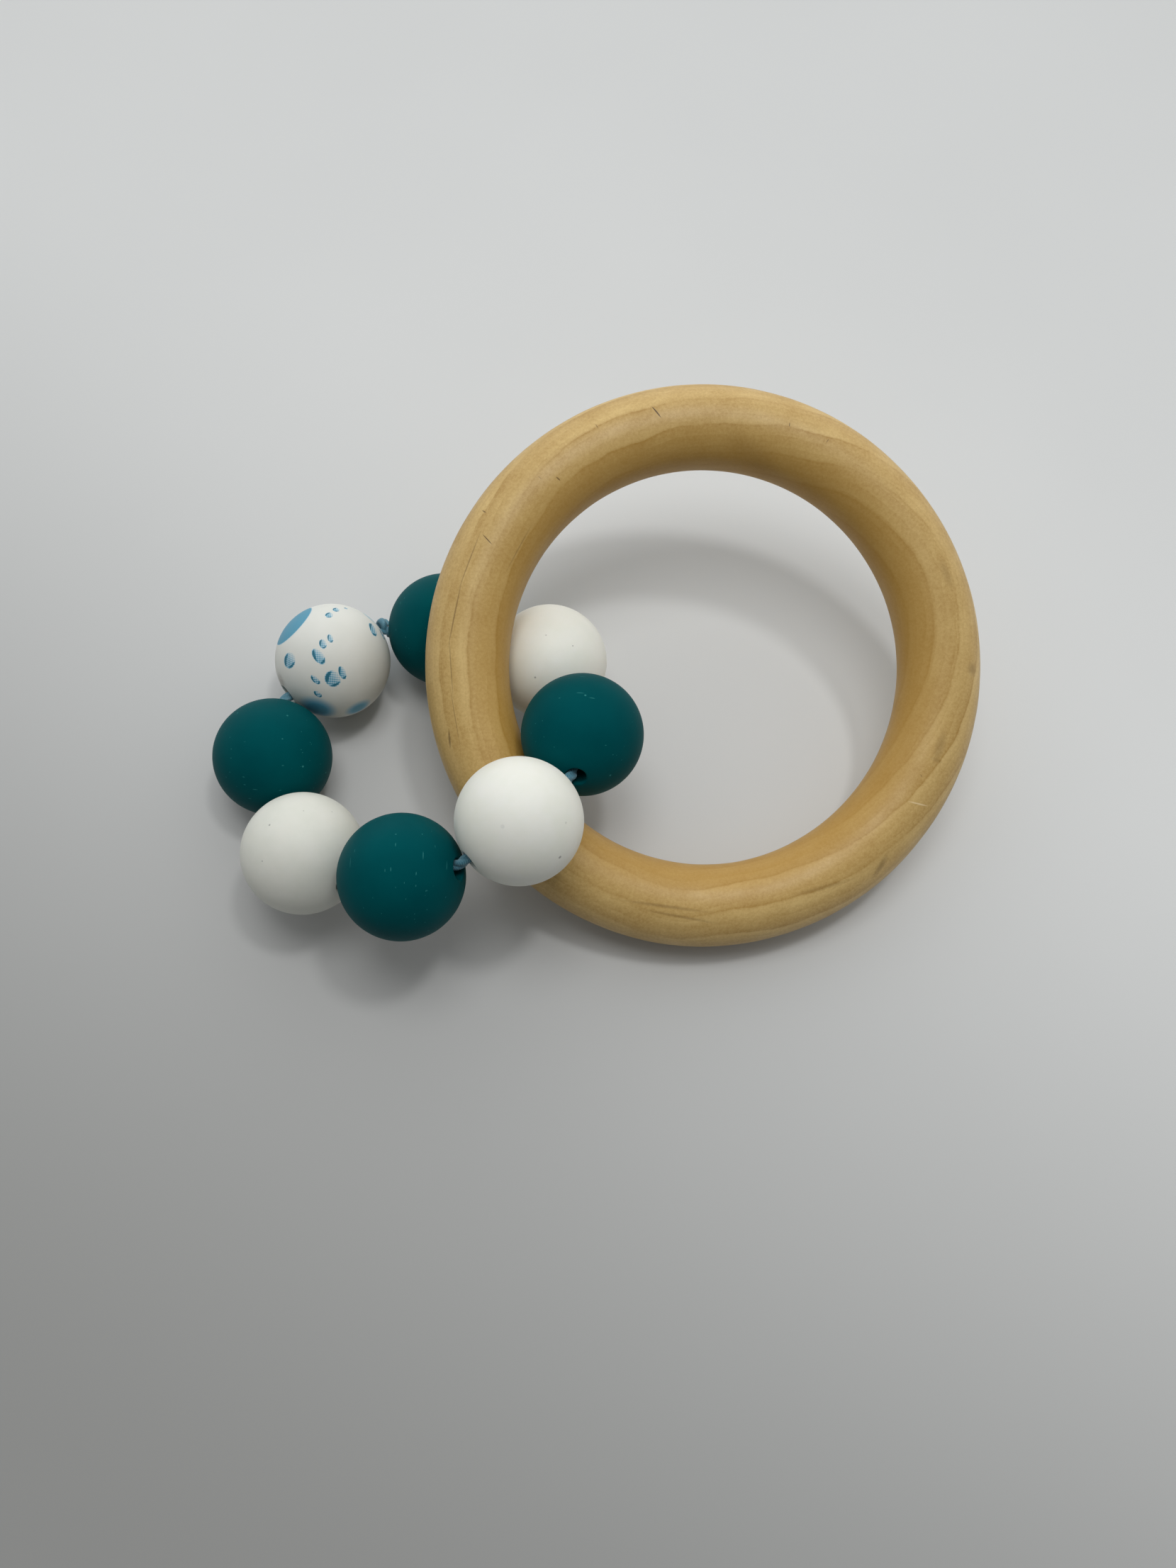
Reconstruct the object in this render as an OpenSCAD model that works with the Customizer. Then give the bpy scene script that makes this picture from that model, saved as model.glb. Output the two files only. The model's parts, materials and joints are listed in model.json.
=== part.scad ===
/* [Ring] */
// Outside diameter of the turned wooden ring
ring_outer_d = 70; // [60:1:80]
// Thickness of the ring's round section
ring_tube_d = 10.3; // [8:0.1:12]
// How far the ring leans up from level, degrees
ring_tilt = 21.3; // [0:0.1:30]
// Direction of the ring's low side, degrees from +X
ring_low_turn = -86; // [-180:1:180]

/* [Beads] */
// Diameter of each ball bead
bead_d = 14.8; // [12:0.1:16]
// Bore that the cord runs through
bead_bore_d = 2.4; // [2:0.1:3]
// Width of the countersink round each bore's mouth
bead_mouth_w = 0.3; // [0:0.1:0.5]

/* [Strand] */
// Middle of the strand of beads, along X from the ring's middle
strand_x = -35; // [-40:0.1:-30]
// Middle of the strand of beads, along Y from the ring's middle
strand_y = -8.7; // [-15:0.1:0]
// Thickness of the twisted cord
cord_d = 1.3; // [1:0.1:1.8]
// Width of the knot that closes the cord
knot_d = 1.6; // [1.5:0.1:2]
// How far the knot stands out from the run of the cord
knot_out = 0.8; // [0:0.1:1]

/* [Hidden] */
bead_r = bead_d / 2;
ring_tube_r = ring_tube_d / 2;
ring_path_r = (ring_outer_d - ring_tube_d) / 2;
ring_axis = [sin(ring_tilt) * cos(ring_low_turn), sin(ring_tilt) * sin(ring_low_turn), cos(ring_tilt)];
ring_mid_z = ring_path_r * sin(ring_tilt) + ring_tube_r;

// Bead places round the strand: direction from the strand's middle, reach from it, lift off the table, then how
// many degrees the cord draws the bead's bore round towards the next bead, and how many it dips that end.
// The first three beads lie on the table, and the strand then climbs over the ring and down through it.
lay_teal_1 = [84, 18.5, 0, 0, 0];
lay_print = [132, 18.8, 0, 0, 0];
lay_teal_2 = [178, 19.7, 0, 3, 12];
lay_white_1 = [221.5, 19.8, 3.4, 8, 6];
lay_teal_3 = [262.5, 18.3, 10.2, 0, 0];
lay_white_2 = [310.5, 17.2, 14.8, 0, 0];
lay_teal_4 = [357, 19, 10.8, 0, 0];
lay_white_3 = [38.5, 19.9, 2.7, 0, 0];
lay = [lay_teal_1, lay_print, lay_teal_2, lay_white_1, lay_teal_3, lay_white_2, lay_teal_4, lay_white_3];
places = [for (b = lay) [strand_x + b[1] * cos(b[0]), strand_y + b[1] * sin(b[0]), bead_r + b[2]]];
count = len(places);

// The frame's origin is below the middle of the whole toy.
half_x = ring_path_r * sqrt(1 - pow(ring_axis[0], 2)) + ring_tube_r;
half_y = ring_path_r * sqrt(1 - pow(ring_axis[1], 2)) + ring_tube_r;
low_x = min(-half_x, min([for (p = places) p[0] - bead_r]));
high_x = max(half_x, max([for (p = places) p[0] + bead_r]));
low_y = min(-half_y, min([for (p = places) p[1] - bead_r]));
high_y = max(half_y, max([for (p = places) p[1] + bead_r]));
home = [-(low_x + high_x) / 2, -(low_y + high_y) / 2, 0];

// Each bore points along the strand, from the bead before to the bead after, then turns and dips by its own amount.
function unit(v) = v / norm(v);
function past(i) = unit(places[(i + 1) % count] - places[(i + count - 1) % count]);
function onward(i) = unit(places[(i + 1) % count] - places[i]);
function turned(i) = let (gap = acos(past(i) * onward(i)))
    unit(sin(gap - lay[i][3]) * past(i) + sin(lay[i][3]) * onward(i));
function bore_dir(i) = let (a = turned(i), over = unit([0, 0, 1] - a[2] * a))
    cos(lay[i][4]) * a - sin(lay[i][4]) * over;

// The cord is straight in each bore and bends in the crevice between two beads.
straight = bead_r - 1.2;
reach = 1.3;
split = 0.03;
function leave(i) = places[i] + straight * bore_dir(i);
function enter(i) = places[i] - straight * bore_dir(i);
function blend4(a, b, c, d, t) =
    pow(1 - t, 3) * a + 3 * t * pow(1 - t, 2) * b + 3 * t * t * (1 - t) * c + pow(t, 3) * d;
function crevice(i, t) = let (j = (i + 1) % count)
    blend4(leave(i), leave(i) + reach * bore_dir(i), enter(j) - reach * bore_dir(j), enter(j), t);
function bend(i, from, to) = [for (k = [0:4]) crevice(i, from + (to - from) * k / 4)];
knot_start = 0.84;
knot_place = crevice(0, 0.5) + knot_out * unit([crevice(0, 0.5)[0] - strand_x, crevice(0, 0.5)[1] - strand_y, 0]);

route_ring_side = concat(bend(4, 0.5 + split, 1), bend(5, 0, 1), bend(6, 0, 1), bend(7, 0, 1), bend(0, 0, 0.5));
route_print_side = concat(bend(0, knot_start, 1), bend(1, 0, 0.5 - split));
route_far_side = concat(bend(1, 0.5 + split, 1), bend(2, 0, 1), bend(3, 0, 0.5 - split));
route_climb_side = concat(bend(3, 0.5 + split, 1), bend(4, 0, 0.5 - split));

cord_sides = 8;
function heading(p, i) = unit(p[min(i + 1, len(p) - 1)] - p[max(i - 1, 0)]);
function across(t) = unit(cross(t, [0, 0, 1]));
function rim(p, i) = let (t = heading(p, i), s = across(t), u = cross(s, t))
    [for (k = [0:cord_sides - 1]) p[i] + cord_d / 2 * (cos(k * 360 / cord_sides) * s + sin(k * 360 / cord_sides) * u)];
function quad_at(i, k) = let (a = i * cord_sides + k, b = i * cord_sides + (k + 1) % cord_sides)
    [a, b, b + cord_sides, a + cord_sides];

module cord_along(p) {
    rims = [for (i = [0:len(p) - 1]) each rim(p, i)];
    walls = [for (i = [0:len(p) - 2]) for (k = [0:cord_sides - 1]) quad_at(i, k)];
    near = [for (k = [cord_sides - 1:-1:0]) k];
    far = [for (k = [0:cord_sides - 1]) (len(p) - 1) * cord_sides + k];
    translate(home) polyhedron(rims, concat([near], walls, [far]));
}

// A round bead with a straight bore and a small countersink at each mouth.
module bead(i) {
    d = bore_dir(i);
    mouth_z = bead_r * cos(asin((bead_bore_d / 2 + bead_mouth_w) / bead_r));
    translate(home + places[i]) rotate([0, acos(d[2]), atan2(d[1], d[0])]) difference() {
        sphere(d = bead_d, $fn = 96);
        cylinder(h = bead_d + 2, d = bead_bore_d, center = true, $fn = 48);
        for (flip = [0, 1]) mirror([0, 0, flip]) translate([0, 0, mouth_z - bead_mouth_w])
            cylinder(h = 2 * bead_mouth_w, d1 = bead_bore_d, d2 = bead_bore_d + 4 * bead_mouth_w, $fn = 48);
    }
}

module ring() {
    color("#C9A86A") translate(home + [0, 0, ring_mid_z]) rotate([0, ring_tilt, ring_low_turn])
        rotate_extrude($fn = 144) translate([ring_path_r, 0]) circle(d = ring_tube_d, $fn = 64);
}

module bead_teal_1() { color("#00605A") bead(0); }
module bead_print() { color("#DDE2E2") bead(1); }
module bead_teal_2() { color("#00605A") bead(2); }
module bead_white_1() { color("#E4E4DA") bead(3); }
module bead_teal_3() { color("#00605A") bead(4); }
module bead_white_2() { color("#E4E4DA") bead(5); }
module bead_teal_4() { color("#00605A") bead(6); }
module bead_white_3() { color("#E4E4DA") bead(7); }
module cord_ring_side() { color("#4F95AD") cord_along(route_ring_side); }
module cord_print_side() { color("#4F95AD") cord_along(route_print_side); }
module cord_far_side() { color("#4F95AD") cord_along(route_far_side); }
module cord_climb_side() { color("#4F95AD") cord_along(route_climb_side); }
module knot() { color("#4F95AD") translate(home + knot_place) sphere(d = knot_d, $fn = 32); }

ring();
bead_teal_1();
bead_print();
bead_teal_2();
bead_white_1();
bead_teal_3();
bead_white_2();
bead_teal_4();
bead_white_3();
cord_ring_side();
cord_print_side();
cord_far_side();
cord_climb_side();
knot();
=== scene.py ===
"""A baby rattle: a turned wooden ring threaded through a closed strand of silicone ball beads."""
import json
import math

import bmesh
import bpy
from mathutils import Matrix, Vector, noise


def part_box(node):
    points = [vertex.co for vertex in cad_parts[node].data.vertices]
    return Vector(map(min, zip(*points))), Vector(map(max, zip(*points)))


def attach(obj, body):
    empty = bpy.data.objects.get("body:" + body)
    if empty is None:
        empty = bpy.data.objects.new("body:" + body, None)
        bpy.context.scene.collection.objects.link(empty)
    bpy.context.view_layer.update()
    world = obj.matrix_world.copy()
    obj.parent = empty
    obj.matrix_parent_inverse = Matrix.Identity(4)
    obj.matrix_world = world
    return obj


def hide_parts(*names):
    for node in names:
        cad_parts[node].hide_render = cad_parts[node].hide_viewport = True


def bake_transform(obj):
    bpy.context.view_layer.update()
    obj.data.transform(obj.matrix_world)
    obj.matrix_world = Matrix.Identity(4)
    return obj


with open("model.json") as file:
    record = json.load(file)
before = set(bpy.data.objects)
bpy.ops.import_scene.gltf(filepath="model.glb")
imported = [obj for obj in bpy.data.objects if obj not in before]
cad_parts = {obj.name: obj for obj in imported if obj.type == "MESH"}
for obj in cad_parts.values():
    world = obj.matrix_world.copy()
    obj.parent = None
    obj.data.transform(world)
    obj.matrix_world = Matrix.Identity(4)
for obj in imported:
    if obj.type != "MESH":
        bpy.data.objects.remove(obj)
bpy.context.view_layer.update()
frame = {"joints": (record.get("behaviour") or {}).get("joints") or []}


# ---- The grip ring -------------------------------------------------------------------------------------
# A ring of pale maple, turned on a lathe to a round section, sanded by hand and rubbed with clear wax.
# It is one loose piece: it runs through the closed strand of beads and turns freely in it.
mm = 0.001
ring_path_r = 29.85 * mm
ring_tube_r = 5.15 * mm
low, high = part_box("ring")
ring_middle = (Vector(low) + Vector(high)) / 2
ring_axis = Vector(next(j["axis"] for j in frame["joints"] if j["name"] == "ring_turn")).normalized()
ring_x = (Vector((1, 0, 0)) - ring_axis * ring_axis.x).normalized()


def upright(x_way, z_way, middle):
    """The placing of a piece with its own Z along z_way and its own X as near x_way as that allows."""
    z = z_way.normalized()
    x = (x_way - z * x_way.dot(z)).normalized()
    y = z.cross(x)
    return Matrix.Translation(middle) @ Matrix((x, y, z)).transposed().to_4x4()


def sheet_of_quads(name, rows, close_across=True, close_along=True):
    """A smooth mesh through rows of points, each row joined to the next."""
    across, along = len(rows[0]), len(rows)
    faces = []
    for i in range(along if close_along else along - 1):
        for k in range(across if close_across else across - 1):
            a, b = i * across, (i + 1) % along * across
            faces.append((a + k, b + k, b + (k + 1) % across, a + (k + 1) % across))
    mesh = bpy.data.meshes.new(name)
    mesh.from_pydata([p for row in rows for p in row], [], faces)
    turned = bmesh.new()
    turned.from_mesh(mesh)
    bmesh.ops.recalc_face_normals(turned, faces=turned.faces)
    turned.to_mesh(mesh)
    turned.free()
    mesh.shade_smooth()
    piece = bpy.data.objects.new(name, mesh)
    bpy.context.collection.objects.link(piece)
    return piece


def on_ring(around, over, lift=0.0):
    """A point on the ring's skin: degrees around the ring, and degrees over its section from the outside."""
    a, t = math.radians(around), math.radians(over)
    reach = ring_path_r + (ring_tube_r + lift) * math.cos(t)
    return Vector((reach * math.cos(a), reach * math.sin(a), (ring_tube_r + lift) * math.sin(t)))


rows = []
for i in range(600):
    row = []
    for k in range(120):
        p = on_ring(i * 0.6, k * 3)
        # Hand sanding leaves the section very slightly out of round.
        wave = noise.noise(p * 70) * 0.05 + noise.noise(p * 260 + Vector((5, 1, 2))) * 0.018
        row.append(on_ring(i * 0.6, k * 3, wave * mm))
    rows.append(row)
ring = sheet_of_quads("grip_ring", rows)
ring.matrix_world = upright(ring_x, ring_axis, ring_middle)


def linear(hex_colour):
    """An sRGB hex colour as the linear colour that a shader takes."""
    parts = [int(hex_colour[i:i + 2], 16) / 255 for i in (1, 3, 5)]
    return [c / 12.92 if c <= 0.04045 else ((c + 0.055) / 1.055) ** 2.4 for c in parts] + [1.0]


def add(tree, kind, links=None, **settings):
    """Adds one node with its settings, and fills its inputs with links or plain values."""
    node = tree.nodes.new(kind)
    for name, value in settings.items():
        setattr(node, name, value)
    for name, value in (links or {}).items():
        if isinstance(value, bpy.types.NodeSocket):
            tree.links.new(value, node.inputs[name])
        else:
            node.inputs[name].default_value = value
    return node


# Maple, turned and waxed. Its growth layers run along the ring and swing round its section: they lie on
# the inside at the strand and dive over the outer edge at the free side. Each layer pales slowly, then
# ends in a dark line.
maple = bpy.data.materials.new("waxed_turned_maple")
maple.use_nodes = True
t = maple.node_tree
t.nodes.clear()
place = add(t, "ShaderNodeTexCoord").outputs["Object"]
wood_mm = add(t, "ShaderNodeVectorMath", {0: place, "Scale": 1000.0}, operation="SCALE").outputs[0]
xyz = add(t, "ShaderNodeSeparateXYZ", {"Vector": wood_mm})
around = add(t, "ShaderNodeMath", {0: xyz.outputs["Y"], 1: xyz.outputs["X"]}, operation="ARCTAN2").outputs[0]
around = add(t, "ShaderNodeMath", {0: around}, operation="DEGREES").outputs[0]
reach = add(t, "ShaderNodeVectorMath", {0: wood_mm, 1: (1.0, 1.0, 0.0)}, operation="MULTIPLY")
reach = add(t, "ShaderNodeVectorMath", {0: reach.outputs[0]}, operation="LENGTH").outputs["Value"]
reach = add(t, "ShaderNodeMath", {0: reach, 1: ring_path_r / mm}, operation="SUBTRACT").outputs[0]
over = add(t, "ShaderNodeMath", {0: xyz.outputs["Z"], 1: reach}, operation="ARCTAN2").outputs[0]
over = add(t, "ShaderNodeMath", {0: over}, operation="DEGREES").outputs[0]
# Where one layer's edge crosses the section: 127 degrees over, less each dip (middle, width and depth in
# degrees).
edge = None
for middle, width, depth in ((22, 54, 97), (116, 24, 20), (-99, 9, 10), (-125, 20, 4)):
    dip = add(t, "ShaderNodeMath", {0: around, 1: float(middle)}, operation="SUBTRACT")
    dip = add(t, "ShaderNodeMath", {0: dip.outputs[0], 1: -180.0, 2: 180.0}, operation="WRAP")
    dip = add(t, "ShaderNodeMath", {0: dip.outputs[0], 1: float(width)}, operation="DIVIDE")
    dip = add(t, "ShaderNodeMath", {0: dip.outputs[0], 1: 2.0}, operation="POWER")
    dip = add(t, "ShaderNodeMath", {0: math.exp(-1), 1: dip.outputs[0]}, operation="POWER")
    edge = add(t, "ShaderNodeMath", {0: dip.outputs[0], 1: -float(depth),
        2: 127.0 if edge is None else edge}, operation="MULTIPLY_ADD").outputs[0]
sway = add(t, "ShaderNodeTexNoise", {"Vector": wood_mm, "Scale": 0.10, "Detail": 2.0, "Roughness": 0.5})
edge = add(t, "ShaderNodeMath", {0: sway.outputs["Fac"], 1: 22.0, 2: edge},
    operation="MULTIPLY_ADD").outputs[0]
ragged = add(t, "ShaderNodeTexNoise", {"Vector": wood_mm, "Scale": 0.9, "Detail": 3.0, "Roughness": 0.6})
edge = add(t, "ShaderNodeMath", {0: ragged.outputs["Fac"], 1: 3.0, 2: edge},
    operation="MULTIPLY_ADD").outputs[0]
# The layers are 3.4 mm apart round the section, which is 38 degrees, with finer ones 1.3 mm apart.
layer = add(t, "ShaderNodeMath", {0: over, 1: edge}, operation="SUBTRACT").outputs[0]
layer = add(t, "ShaderNodeMath", {0: layer, 1: 12.5}, operation="ADD").outputs[0]
tone = None
for each, strong in ((38.0, 0.8), (14.5, 0.3)):
    part = add(t, "ShaderNodeMath", {0: layer, 1: each}, operation="DIVIDE")
    part = add(t, "ShaderNodeMath", {0: part.outputs[0]}, operation="FRACT")
    part = add(t, "ShaderNodeValToRGB", {"Fac": part.outputs[0]})
    part.color_ramp.interpolation = "B_SPLINE"
    part.color_ramp.elements[0].color = (0.30, 0.30, 0.30, 1)
    part.color_ramp.elements[1].color = (0.45, 0.45, 0.45, 1)
    for at, shade in ((0.03, 0.05), (0.09, 0.38), (0.30, 0.50), (0.60, 0.62), (0.84, 0.95), (0.94, 0.95)):
        part.color_ramp.elements.new(at).color = (shade, shade, shade, 1)
    # How strongly the layers show changes from place to place.
    faint = add(t, "ShaderNodeTexNoise", {"Vector": wood_mm, "Scale": 0.07 / strong, "Detail": 2.0})
    faint = add(t, "ShaderNodeMapRange", {"Value": faint.outputs["Fac"], "From Min": 0.36, "From Max": 0.66,
        "To Min": 0.15 * strong, "To Max": strong})
    part = add(t, "ShaderNodeMath", {0: part.outputs["Color"], 1: 0.5}, operation="SUBTRACT")
    tone = add(t, "ShaderNodeMath", {0: part.outputs[0], 1: faint.outputs[0],
        2: 0.5 if tone is None else tone}, operation="MULTIPLY_ADD").outputs[0]
# Mottled figure 2 to 6 mm across, and a fine fleck 0.3 mm across, as the fibres lean in and out.
figure = add(t, "ShaderNodeTexNoise", {"Vector": wood_mm, "Scale": 0.25, "Detail": 6.0, "Roughness": 0.66})
tone = add(t, "ShaderNodeMath", {0: figure.outputs["Fac"], 1: 0.7, 2: tone},
    operation="MULTIPLY_ADD").outputs[0]
fleck = add(t, "ShaderNodeTexNoise", {"Vector": wood_mm, "Scale": 3.0, "Detail": 3.0, "Roughness": 0.75})
tone = add(t, "ShaderNodeMath", {0: fleck.outputs["Fac"], 1: 1.1, 2: tone},
    operation="MULTIPLY_ADD").outputs[0]
tone = add(t, "ShaderNodeMath", {0: tone, 1: 0.9}, operation="SUBTRACT").outputs[0]
wood = add(t, "ShaderNodeMix", {"Factor": tone, "A": linear("#A98341"), "B": linear("#D6B778")},
    data_type="RGBA")
# Painted shade and warm bounced light on the inside of the ring: its inner flank is mixed towards a deep
# ochre.
inside_painted_shade = add(t, "ShaderNodeMapRange", {"Value": reach, "From Min": -5.4, "From Max": 1.6, "To Min": 0.66,
    "To Max": 0.0}, interpolation_type="SMOOTHSTEP")
wood = add(t, "ShaderNodeMix", {"Factor": inside_painted_shade.outputs[0], "A": wood.outputs["Result"],
    "B": linear("#B0832C")}, data_type="RGBA")
# Nicks, soft brown stains and small knots: degrees around, degrees over, length and width in mm, lean in
# degrees, darkness, and how far the edge fades.
marks = None
for turn, rise, length, width, lean, dark, fade in [(102.6, 75, 1.7, 0.17, -67, 0.9, 0.3),
        (130, 98, 0.6, 0.16, -80, 0.7, 0.3), (151, 75, 1.6, 0.12, 70, 0.8, 0.3),
        (133, 81, 0.5, 0.10, 90, 0.4, 0.4), (116, 66, 0.6, 0.11, 90, 0.5, 0.4),
        (146, 48, 0.7, 0.14, 85, 0.7, 0.4), (62.5, 81, 0.5, 0.12, 80, 0.5, 0.4),
        (72, 82, 0.5, 0.14, 100, 0.6, 0.4), (195, 49, 1.9, 0.30, -15, 0.55, 0.5),
        (-28, 97, 0.4, 0.12, 60, 0.4, 0.4), (-20, 89, 3.2, 1.0, 3, 0.26, 0.9),
        (-23, 87, 0.5, 1.2, 0, 0.25, 0.8), (-50, 60, 2.4, 0.8, 25, 0.38, 0.9),
        (-1, 58, 1.3, 1.4, -50, 0.32, 0.9), (21, 76, 2.8, 1.0, 0, 0.20, 0.9),
        (77, 140, 9.0, 2.4, -30, 0.12, 1.0), (-102, 90, 8.0, 0.35, 3, 0.30, 0.8),
        (-98, 79, 7.0, 0.30, -4, 0.28, 0.8), (-64, 84, 6.0, 0.5, -12, 0.2, 0.8),
        (212, 118, 0.8, 0.15, 10, 0.6, 0.4), (258, -63, 1.1, 0.12, 4, 0.6, 0.4),
        (29, -40, 0.9, 0.14, 12, 0.6, 0.4), (75, -95, 3.0, 1.0, 8, 0.25, 0.9),
        (157, 65, 6.4, 0.15, 2, 0.42, 0.6), (168.5, 67, 6.6, 0.17, -1, 0.5, 0.6),
        (180, 68, 6.2, 0.13, 3, 0.42, 0.6), (190.5, 66, 5.6, 0.12, -2, 0.36, 0.6),
        (149, 118, 5.0, 0.15, 2, 0.3, 0.7)]:
    out = on_ring(turn, rise) - on_ring(turn, rise, -1 * mm)
    along = Matrix.Rotation(math.radians(lean), 3, out) @ Vector(
        (-math.sin(math.radians(turn)), math.cos(math.radians(turn)), 0))
    laid = upright(along, out, Vector((0, 0, 0))).to_euler()
    near = add(t, "ShaderNodeMapping", {"Vector": wood_mm, "Location": on_ring(turn, rise) / mm,
        "Rotation": laid, "Scale": (length / 2, width / 2, 1.5)}, vector_type="TEXTURE")
    near = add(t, "ShaderNodeVectorMath", {0: near.outputs[0]}, operation="LENGTH")
    mark = add(t, "ShaderNodeMapRange", {"Value": near.outputs["Value"], "From Min": 1 - fade,
        "From Max": 1 + fade, "To Min": dark, "To Max": 0.0}, interpolation_type="SMOOTHSTEP").outputs[0]
    marks = mark if marks is None else add(t, "ShaderNodeMath", {0: marks, 1: mark},
        operation="MAXIMUM").outputs[0]
wood = add(t, "ShaderNodeMix", {"Factor": marks, "A": wood.outputs["Result"], "B": linear("#4A3012")},
    data_type="RGBA")
# One pale scratch across the top of the ring.
out = on_ring(-34, 80) - on_ring(-34, 80, -1 * mm)
along = Matrix.Rotation(math.radians(-70), 3, out) @ Vector((math.sin(math.radians(34)),
    math.cos(math.radians(34)), 0))
near = add(t, "ShaderNodeMapping", {"Vector": wood_mm, "Location": on_ring(-34, 80) / mm,
    "Rotation": upright(along, out, Vector((0, 0, 0))).to_euler(), "Scale": (1.2, 0.09, 1.5)},
    vector_type="TEXTURE")
near = add(t, "ShaderNodeVectorMath", {0: near.outputs[0]}, operation="LENGTH")
scratch = add(t, "ShaderNodeMapRange", {"Value": near.outputs["Value"], "From Min": 0.6, "From Max": 1.4,
    "To Min": 0.7, "To Max": 0.0}, interpolation_type="SMOOTHSTEP").outputs[0]
wood = add(t, "ShaderNodeMix", {"Factor": scratch, "A": wood.outputs["Result"], "B": linear("#EBD3A6")},
    data_type="RGBA")
dull = add(t, "ShaderNodeMapRange", {"Value": figure.outputs["Fac"], "From Min": 0.3, "From Max": 0.7,
    "To Min": 0.50, "To Max": 0.38})
relief = add(t, "ShaderNodeMath", {0: fleck.outputs["Fac"], 1: 0.5, 2: add(t, "ShaderNodeMath", {
    0: 0.0, 1: marks}, operation="SUBTRACT").outputs[0]}, operation="MULTIPLY_ADD")
bump = add(t, "ShaderNodeBump", {"Height": relief.outputs[0], "Strength": 0.3, "Distance": 0.04 * mm})
skin = add(t, "ShaderNodeBsdfPrincipled", {"Base Color": wood.outputs["Result"],
    "Roughness": dull.outputs[0], "IOR": 1.5, "Specular IOR Level": 0.4, "Normal": bump.outputs[0]})
add(t, "ShaderNodeOutputMaterial", {"Surface": skin.outputs[0]})
ring.data.materials.append(maple)
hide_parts("ring")
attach(ring, "ring")


# ---- The beads -----------------------------------------------------------------------------------------
# Eight solid balls of moulded silicone, 14.8 mm across, each with a straight bore for the cord. The mould
# leaves the mouths of the bore softly rounded, a fine parting line from mouth to mouth, and a dry matt
# skin.
bead_r = 7.4 * mm
bore_r = 1.2 * mm
mouth_round = 0.24 * mm
strand = ["bead_teal_1", "bead_print", "bead_teal_2", "bead_white_1", "bead_teal_3", "bead_white_2",
    "bead_teal_4", "bead_white_3"]
bead_at = [(Vector(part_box(n)[0]) + Vector(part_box(n)[1])) / 2 for n in strand]
spin_axis = {j["child"]: Vector(j["axis"]).normalized() for j in frame["joints"]}
bore_way = [spin_axis[n] for n in strand]
strand_middle = sum(bead_at, Vector()) / 8
mouth_z = math.sqrt((bead_r - mouth_round) ** 2 - (bore_r + mouth_round) ** 2)
lip = math.atan2(bore_r + mouth_round, mouth_z)
outline = [(bore_r, mouth_z * k / 6) for k in range(-5, 6)]
for k in range(11):
    a = math.pi - (math.pi / 2 + lip) * k / 10
    outline.append((bore_r + mouth_round + mouth_round * math.cos(a), mouth_z + mouth_round * math.sin(a)))
outline += [(bead_r * math.sin(a), bead_r * math.cos(a))
    for a in [lip + (math.pi - 2 * lip) * k / 120 for k in range(1, 120)]]
outline += [(reach, -z) for reach, z in reversed(outline[11:22])]


def moulded_bead(i, name):
    """One bead of the strand as a turned mesh, its own Z along its bore and its X away from the strand."""
    rows = []
    for k in range(192):
        a = math.tau * k / 192
        rows.append([Vector((reach * math.cos(a), reach * math.sin(a), z)) for reach, z in outline])
    bead = sheet_of_quads(name, rows)
    away = bead_at[i] - strand_middle
    away.z = 0
    bead.matrix_world = upright(away, bore_way[i], bead_at[i])
    return bead


def on_bead(turn, rise):
    """The direction of a place on a bead: degrees round the bore, and degrees towards its far mouth."""
    a, b = math.radians(turn), math.radians(rise)
    return Vector((math.cos(b) * math.cos(a), math.cos(b) * math.sin(a), math.sin(b)))


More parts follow.
